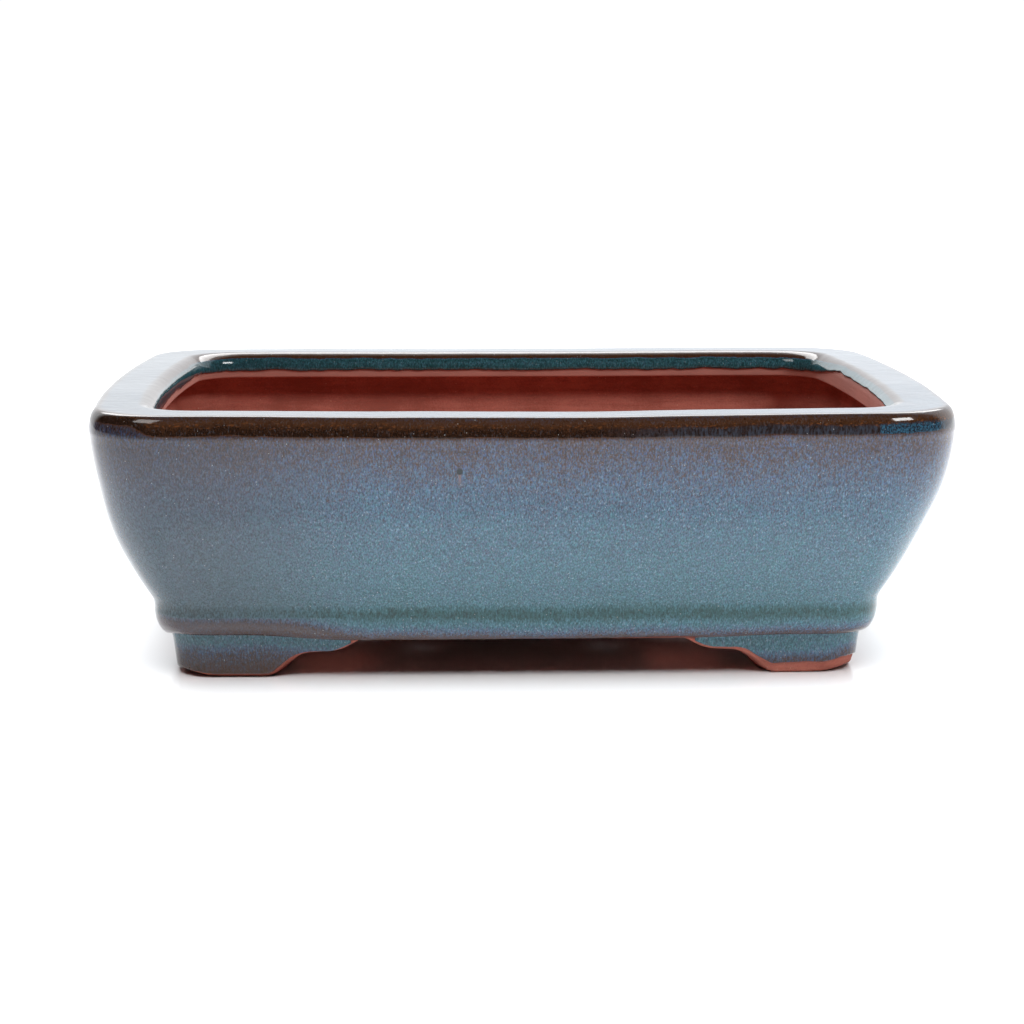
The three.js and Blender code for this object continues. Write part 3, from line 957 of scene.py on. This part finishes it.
def foot_outer(height):
    """How far a foot's outer face stands back from the rim's outline."""
    return FOOT_TOP_INSET + FOOT_SETBACK + sizes().foot_draft * (1 - height / BELT_LOW)


def drop_ends(piece, lowest):
    """Deletes the columns where a ring of feet has no height left, closes the ends, and separates the feet."""
    only(piece)
    bpy.ops.object.mode_set(mode="EDIT")
    bpy.ops.mesh.select_all(action="DESELECT")
    mesh = bmesh.from_edit_mesh(piece.data)
    column = mesh.verts.layers.int["column"]
    for vertex in mesh.verts:
        vertex.select = lowest(vertex[column]) > BELT_LOW - 0.25 * MM
    mesh.select_flush(True)
    bmesh.update_edit_mesh(piece.data)
    bpy.ops.mesh.delete(type="VERT")
    bpy.ops.mesh.select_all(action="SELECT")
    bpy.ops.mesh.fill_holes(sides=0)
    bpy.ops.mesh.normals_make_consistent(inside=False)
    bpy.ops.mesh.separate(type="LOOSE")
    bpy.ops.object.mode_set(mode="OBJECT")
    return list(bpy.context.selected_objects)


def foot_name(piece):
    """The CAD node of the foot that a piece belongs to."""
    middle = sum((Vector(corner) for corner in piece.bound_box), Vector()) / 8
    return f"foot_{'front' if middle.y < 0 else 'rear'}_{'left' if middle.x < 0 else 'right'}"


def bare_height(column):
    """How far above a foot's underside the glaze was wiped off."""
    point = outline(0.0)[column]
    place = Vector((point.x, point.y, 0)) / MM
    wander = 0.5 * noise.noise(place / 11) + 0.25 * noise.noise(place / 3.5)
    on_flat = 1 - smooth(-3 * MM, 4 * MM, gap_run(column))
    more_right = smooth(-0.5, 0.8, point.x / HALF_LENGTH)
    wander *= 0.3 + 0.4 * more_right
    return (0.65 + 0.4 * more_right + on_flat * (0.45 + 1.6 * more_right) + wander) * MM


class POT_OT_feet(bpy.types.Operator):
    """Model the four clay bracket feet"""

    bl_idname = "pot.feet"
    bl_label = "Feet"

    def section(self):
        shape = sizes()
        coat = bpy.context.scene.pot_glaze.coat
        edge = 1.5 * MM
        outer = foot_outer(0) + coat
        inner = FOOT_TOP_INSET + shape.foot_thickness - shape.foot_draft
        return [
            *[(foot_outer(BELT_LOW * share) + coat, BELT_LOW * share) for share in (1, 0.85, 0.7, 0.55, 0.4, 0.27)],
            *ellipse((outer + edge, edge), edge, edge, 180, 270, 5),
            *[(outer + (inner - outer) * share, 0.0) for share in (0.4, 0.6)],
            *ellipse((inner - edge, edge), edge, edge, 270, 360, 5),
            *[(inner + shape.foot_draft * share, BELT_LOW * share) for share in (0.4, 0.7, 1)],
            (0.5 * (outer + inner), BELT_LOW),
        ]

    def execute(self, context):
        rings = [
            [
                spot(column, inset, height + shoulder(column) * (1 - height / BELT_LOW))
                for column in range(len(outline(0.0)))
            ]
            for inset, height in self.section()
        ]
        ring = loft("feet", rings)
        for piece in drop_ends(ring, shoulder):
            node = foot_name(piece)
            piece.name = f"{node}_clay"
            piece.data.name = piece.name
            finish_clay(piece, node)
        return {"FINISHED"}


class POT_OT_foot_glaze(bpy.types.Operator):
    """Model the glaze on the outside of the four feet"""

    bl_idname = "pot.foot_glaze"
    bl_label = "Glaze on the feet"

    top = BELT_LOW + 0.75 * MM

    def lowest(self, column):
        return shoulder(column) + bare_height(column)

    def execute(self, context):
        coat = context.scene.pot_glaze.coat
        flare = 0.62 * MM
        outer = [i / 14 for i in range(15)]
        rings = []
        for share in outer:
            rings.append(self.ring(share, lambda height: -flare * math.exp((height - self.top) / (0.8 * MM))))
        for reach, depth in ((0.35, 0.3), (0.42, 0.7)):
            rings.append(self.ring(1, lambda height, depth=depth: depth * coat, reach * coat))
        for share in (1, 0.6, 0.3, 0):
            rings.append(self.ring(share, lambda height: SKIN * coat))
        ring = start_ring("foot_glaze", rings[0])
        extrude_rings(ring, [*rings[1:], rings[0]])
        bpy.ops.object.mode_set(mode="OBJECT")
        write_heights(ring, [point.z / MM for points in (*rings, rings[0]) for point in points])
        bpy.ops.object.mode_set(mode="EDIT")
        close_section(ring)
        for piece in drop_ends(ring, self.lowest):
            piece.name = f"{foot_name(piece)}_glaze"
            piece.data.name = piece.name
            finish_glaze(piece)
        return {"FINISHED"}

    def ring(self, share, depth, below=0.0):
        """A ring at a share of the way down from the slab to the glaze's edge, or a little below that."""
        points = []
        for column in range(len(outline(0.0))):
            low = min(self.lowest(column), self.top)
            height = self.top + (low - self.top) * share
            points.append(spot(column, foot_outer(height) + depth(height), height - below))
        return points


def write_heights(piece, heights):
    """Stores how far up the pot each vertex lies in mm, from the first ring's vertices to the last's."""
    attribute = piece.data.attributes.new("glaze_height", "FLOAT", "POINT")
    attribute.data.foreach_set("value", heights)


# --- The coat of glaze ---

SKIN = 1.02  # coats deep: the glaze's inner face lies just inside the clay
OVER_TOP = 5  # mm by which the height that the glaze is read at goes on over the rim's flat top
INSIDE_START, INSIDE_END = 71, 80  # mm that it's read at from the rim's inner edge to the glaze's end in the lip


def past_top(height):
    """How far along the profile a height comes again, beyond the rim's flat top."""
    profile = pot_profile()
    return profile.distance_at(height, after=profile.distance_at(RIM_TOP - 0.05 * MM) + 5 * MM)


@lru_cache(maxsize=None)
def inner_edge(column):
    """How far down the profile the glaze runs inside the lip before it ends in a wandering rolled edge."""
    point = outline(0.0)[column]
    place = Vector((point.x, point.y, 0)) / MM
    wander = 0.45 * noise.noise(place / 9) + 0.3 * noise.noise(place / 3)
    on_right = smooth(0.90, 0.955, point.x / HALF_LENGTH) * smooth(-62 * MM, -30 * MM, -point.y)
    notch = smooth(0.0, 0.4, noise.noise(place / 12 + Vector((3.7, 1.2, 0.4)))) * 0.7
    wander *= 1 - 0.6 * on_right
    return past_top(RIM_TOP - 4.8 * MM) - (wander + on_right * (2.7 + notch)) * MM


@lru_cache(maxsize=None)
def lower_edge(column):
    """How far along the profile the glaze starts under the belt: behind a foot, or on the edge of a gap."""
    profile = pot_profile()
    point = outline(0.0)[column]
    place = Vector((point.x, point.y, 0)) / MM
    wander = 0.25 * noise.noise(place / 14) + 0.12 * noise.noise(place / 4)
    in_gap = smooth(0.7 * sizes().cloud_run, 1.05 * sizes().cloud_run, gap_run(column))
    more_right = 0.15 + 0.85 * smooth(0.1, 0.45, point.x / HALF_LENGTH)
    return profile.along[1] + (0.1 + in_gap * more_right * (0.9 + wander)) * MM


class POT_OT_glaze(bpy.types.Operator):
    """Model the coat of glaze, from the belt over the rim to its edge inside the lip"""

    bl_idname = "pot.glaze"
    bl_label = "Coat of glaze"

    def execute(self, context):
        profile = pot_profile()
        coat = context.scene.pot_glaze.coat
        columns = range(len(outline(0.0)))
        belt_end = profile.distance_at(BELT_LOW + 3 * MM)
        rim_inner = past_top(RIM_TOP - 1e-6)
        middle = [d for d in profile.along if belt_end < d < rim_inner]
        levels = []

        def level(distance, depth, height=None):
            """Adds a ring: its places along the profile, its depth in the clay and how high up the pot it counts."""
            places = [profile.at(distance(column), depth) for column in columns]
            levels.append((places, [place.y / MM if height is None else height for place in places]))

        def between(start, end, share):
            return lambda column: start(column) + (end(column) - start(column)) * share

        def fixed(distance):
            return lambda column: distance

        for reach, depth in ((-0.25, 0.95), (-0.45, 0.6), (-0.3, 0.2)):
            level(lambda column, reach=reach: lower_edge(column) + reach * coat, depth * coat)
        belt_levels = 9
        for i in range(belt_levels):
            level(between(lower_edge, fixed(belt_end), i / belt_levels), 0.0)
        for distance in middle:
            inset, height = profile.at(distance)
            over_top = inset > 3.2 * MM and height > RIM_TOP - 0.1 * MM
            level(fixed(distance), 0.0, RIM_TOP / MM + OVER_TOP * inset / sizes().lip_width if over_top else None)
        inner_levels = 14
        for i in range(inner_levels + 1):
            share = i / inner_levels
            bead = 0.22 * coat * math.exp(-(((1 - share) / 0.16) ** 2))
            level(
                between(fixed(rim_inner), inner_edge, share), -bead,
                INSIDE_START + (INSIDE_END - INSIDE_START) * share,
            )
        for reach, depth in ((0.3, 0.15), (0.45, 0.5), (0.3, 0.9)):
            level(lambda column, reach=reach: inner_edge(column) + reach * coat, depth * coat, INSIDE_END)
        for share in (0.9, 0.5, 0.2):
            level(between(fixed(rim_inner), inner_edge, share), SKIN * coat, 75)
        for distance in reversed(middle):
            level(fixed(distance), SKIN * coat)
        for share in (0.7, 0.35):
            level(between(lower_edge, fixed(belt_end), share), SKIN * coat)

        rings = [[spot(column, *places[column]) for column in columns] for places, _ in levels]
        piece = start_ring("glaze_coat", rings[0])
        extrude_rings(piece, [*rings[1:], rings[0]])
        bpy.ops.object.mode_set(mode="OBJECT")
        heights = [height for _, ring_heights in levels for height in ring_heights]
        write_heights(piece, [*heights, *levels[0][1]])
        bpy.ops.object.mode_set(mode="EDIT")
        close_section(piece)
        self.unevenness(piece)
        finish_glaze(piece)
        return {"FINISHED"}

    def unevenness(self, piece):
        """Gives the fired glaze its slight unevenness, which bends the reflections in it."""
        piece.data.update()
        mesh = bmesh.new()
        mesh.from_mesh(piece.data)
        mesh.normal_update()
        for vertex in mesh.verts:
            place = vertex.co / MM
            swell = 0.05 * noise.noise(Vector((place.x / 17, place.y / 17, place.z / 7)))
            swell += 0.018 * noise.noise(place / 4.5)
            vertex.co += vertex.normal * (swell - 0.05) * MM
        mesh.to_mesh(piece.data)
        mesh.free()


# --- The studio ---


LAMPS = (
    # name, place, target, width, height, watts; the two boxes show in the glaze and don't light the table
    ("behind", (0.0, 1.0, 1.0), (0, 0, 0), 1.8, 0.7, 22),
    ("left_box", (-0.62, -0.55, 0.92), (0, 0, 0.03), 0.5, 0.4, 3.0),
    ("right_box", (0.66, -0.66, 0.82), (0, 0, 0.03), 0.5, 0.24, 6.8),
)
TABLE_SIZE = 8.0
TABLE_WHITE = (0.86, 0.86, 0.87, 1)
CARD_BLACK = (0.01, 0.01, 0.01, 1)
BACKDROP_WHITE = (0.95, 0.975, 1, 1)
CAMERA_PLACE = (-21.2 * MM, -594.6 * MM, 133.7 * MM)
CAMERA_TURN = (math.radians(80.12), 0, math.radians(-1.95))


class POT_OT_stage(bpy.types.Operator):
    """Set a white table, a white backdrop, soft lights and the camera"""

    bl_idname = "pot.stage"
    bl_label = "Studio"

    def card(self, name, place, size, tint, roughness=0.5, turn=0.0):
        """A flat rectangle at a place, which isn't part of the pot."""
        bpy.ops.object.select_all(action="DESELECT")
        bpy.ops.mesh.primitive_plane_add(size=1.0, location=place, rotation=(turn, 0, 0))
        card = bpy.context.object
        card.name = name
        bpy.ops.object.mode_set(mode="EDIT")
        bpy.ops.mesh.select_all(action="SELECT")
        bpy.ops.transform.resize(value=size)
        bpy.ops.object.mode_set(mode="OBJECT")
        shader = Shader(name)
        shader.surface.inputs["Base Color"].default_value = tint
        shader.surface.inputs["Roughness"].default_value = roughness
        card.data.materials.append(shader.material)
        return card

    def shades(self):
        """Keeps it dark under the pot: one card shades the holes in the floor, one closes the rear gap."""
        under = self.card(
            "flag", (0, 0, BELT_LOW - 0.3 * MM), (1.2 * HALF_LENGTH, HALF_WIDTH, 1.0), CARD_BLACK
        )
        under.visible_camera = under.visible_diffuse = under.visible_glossy = under.visible_transmission = False
        rear = self.card(
            "skirt", (0, 0.72 * HALF_WIDTH, 0.5 * BELT_LOW), (1.2 * HALF_LENGTH, 1.0, 0.9 * BELT_LOW), CARD_BLACK,
            turn=math.radians(90),
        )
        rear.visible_camera = False

    def world(self):
        """White behind, narrower on the left, a dark room in front, and white where the camera looks past the table."""
        studio = bpy.context.scene.pot_stage
        world = bpy.data.worlds.new("studio")
        bpy.context.scene.world = world
        world.use_nodes = True
        nodes = world.node_tree.nodes
        links = world.node_tree.links
        split = nodes.new("ShaderNodeSeparateXYZ")
        links.new(nodes.new("ShaderNodeTexCoord").outputs["Generated"], split.inputs[0])
        left = nodes.new("ShaderNodeMath")
        left.operation = "MINIMUM"
        left.inputs[1].default_value = 0.0
        links.new(split.outputs["X"], left.inputs[0])
        narrower = nodes.new("ShaderNodeMath")
        narrower.operation = "MULTIPLY_ADD"
        narrower.inputs[1].default_value = 0.6
        links.new(left.outputs[0], narrower.inputs[0])
        links.new(split.outputs["Y"], narrower.inputs[2])
        behind = nodes.new("ShaderNodeMapRange")
        behind.interpolation_type = "SMOOTHSTEP"
        for name, number in (
            ("From Min", 0.05), ("From Max", 0.35), ("To Min", studio.room), ("To Max", studio.backdrop)
        ):
            behind.inputs[name].default_value = number
        links.new(narrower.outputs[0], behind.inputs["Value"])
        pick = nodes.new("ShaderNodeMix")
        pick.data_type = "FLOAT"
        links.new(nodes.new("ShaderNodeLightPath").outputs["Is Camera Ray"], pick.inputs[0])
        links.new(behind.outputs[0], pick.inputs[2])
        pick.inputs[3].default_value = studio.horizon
        links.new(pick.outputs[0], nodes["Background"].inputs["Strength"])
        nodes["Background"].inputs["Color"].default_value = BACKDROP_WHITE

    def lamp(self, name, place, target, width, height, watts):
        """A soft box at a place, turned to a target."""
        bpy.ops.object.light_add(type="AREA", location=place)
        lamp = bpy.context.object
        lamp.name = name
        lamp.rotation_euler = (Vector(target) - Vector(place)).to_track_quat("-Z", "Y").to_euler()
        lamp.data.shape = "RECTANGLE"
        lamp.data.size = width
        lamp.data.size_y = height
        lamp.data.energy = watts
        return lamp

    def table_lamp(self):
        """A wide soft light on the table, from above and a little from the front."""
        bpy.ops.object.light_add(type="SUN", rotation=(math.radians(18), 0, 0))
        lamp = bpy.context.object
        lamp.name = "table_lamp"
        lamp.data.angle = math.radians(50)
        lamp.data.energy = bpy.context.scene.pot_stage.table_light
        return lamp

    def light_only(self, lamps, objects):
        """Lets some lamps light only some objects."""
        lit = bpy.data.collections.new(f"lit by {lamps[0].name}")
        for thing in objects:
            lit.objects.link(thing)
        for lamp in lamps:
            lamp.light_linking.receiver_collection = lit

    def camera(self):
        bpy.ops.object.camera_add(location=CAMERA_PLACE)
        camera = bpy.context.object
        camera.name = "camera"
        camera.rotation_euler = CAMERA_TURN
        camera.data.lens = bpy.context.scene.pot_stage.lens
        camera.data.sensor_width = 36
        camera.data.clip_start = 10 * MM
        bpy.context.scene.camera = camera

    def execute(self, context):
        table = self.card("table", (0, 1.0, 0), (TABLE_SIZE, TABLE_SIZE, 1.0), TABLE_WHITE, roughness=0.15)
        self.shades()
        self.world()
        _, *boxes = [self.lamp(*lamp) for lamp in LAMPS]
        self.light_only([self.table_lamp()], [table])
        self.light_only(boxes, [piece for piece in context.scene.objects if piece.type == "MESH" and piece != table])
        self.camera()
        context.scene.view_settings.view_transform = "Standard"
        return {"FINISHED"}


# --- The add-on ---


class POT_PT_panel(bpy.types.Panel):
    """Lists the pot's pieces and what can be changed about them"""

    bl_idname = "POT_PT_panel"
    bl_label = "Bonsai Pot"
    bl_space_type = "VIEW_3D"
    bl_region_type = "UI"
    bl_category = "Pot"

    def draw(self, context):
        for operator in OPERATORS:
            self.layout.operator(operator.bl_idname)
        for name in GROUPS:
            group = getattr(context.scene, name)
            box = self.layout.box()
            for key in group.bl_rna.properties.keys():
                if key not in ("rna_type", "name"):
                    box.prop(group, key)


GROUPS = {
    "pot_sizes": PotSizes,
    "pot_glaze": PotGlaze,
    "pot_clay": PotClay,
    "pot_mesh": PotMesh,
    "pot_stage": PotStage,
}
OPERATORS = (
    POT_OT_floor, POT_OT_walls, POT_OT_lips, POT_OT_feet, POT_OT_glaze, POT_OT_foot_glaze, POT_OT_stage
)


def register():
    for cls in (*GROUPS.values(), *OPERATORS, POT_PT_panel):
        bpy.utils.register_class(cls)
    for name, cls in GROUPS.items():
        setattr(bpy.types.Scene, name, PointerProperty(type=cls))


def unregister():
    for name in GROUPS:
        delattr(bpy.types.Scene, name)
    for cls in reversed((*GROUPS.values(), *OPERATORS, POT_PT_panel)):
        bpy.utils.unregister_class(cls)


def main():
    register()
    bpy.ops.pot.floor()
    bpy.ops.pot.walls()
    bpy.ops.pot.lips()
    bpy.ops.pot.feet()
    bpy.ops.pot.glaze()
    bpy.ops.pot.foot_glaze()
    bpy.ops.pot.stage()


if __name__ == "__main__":
    main()
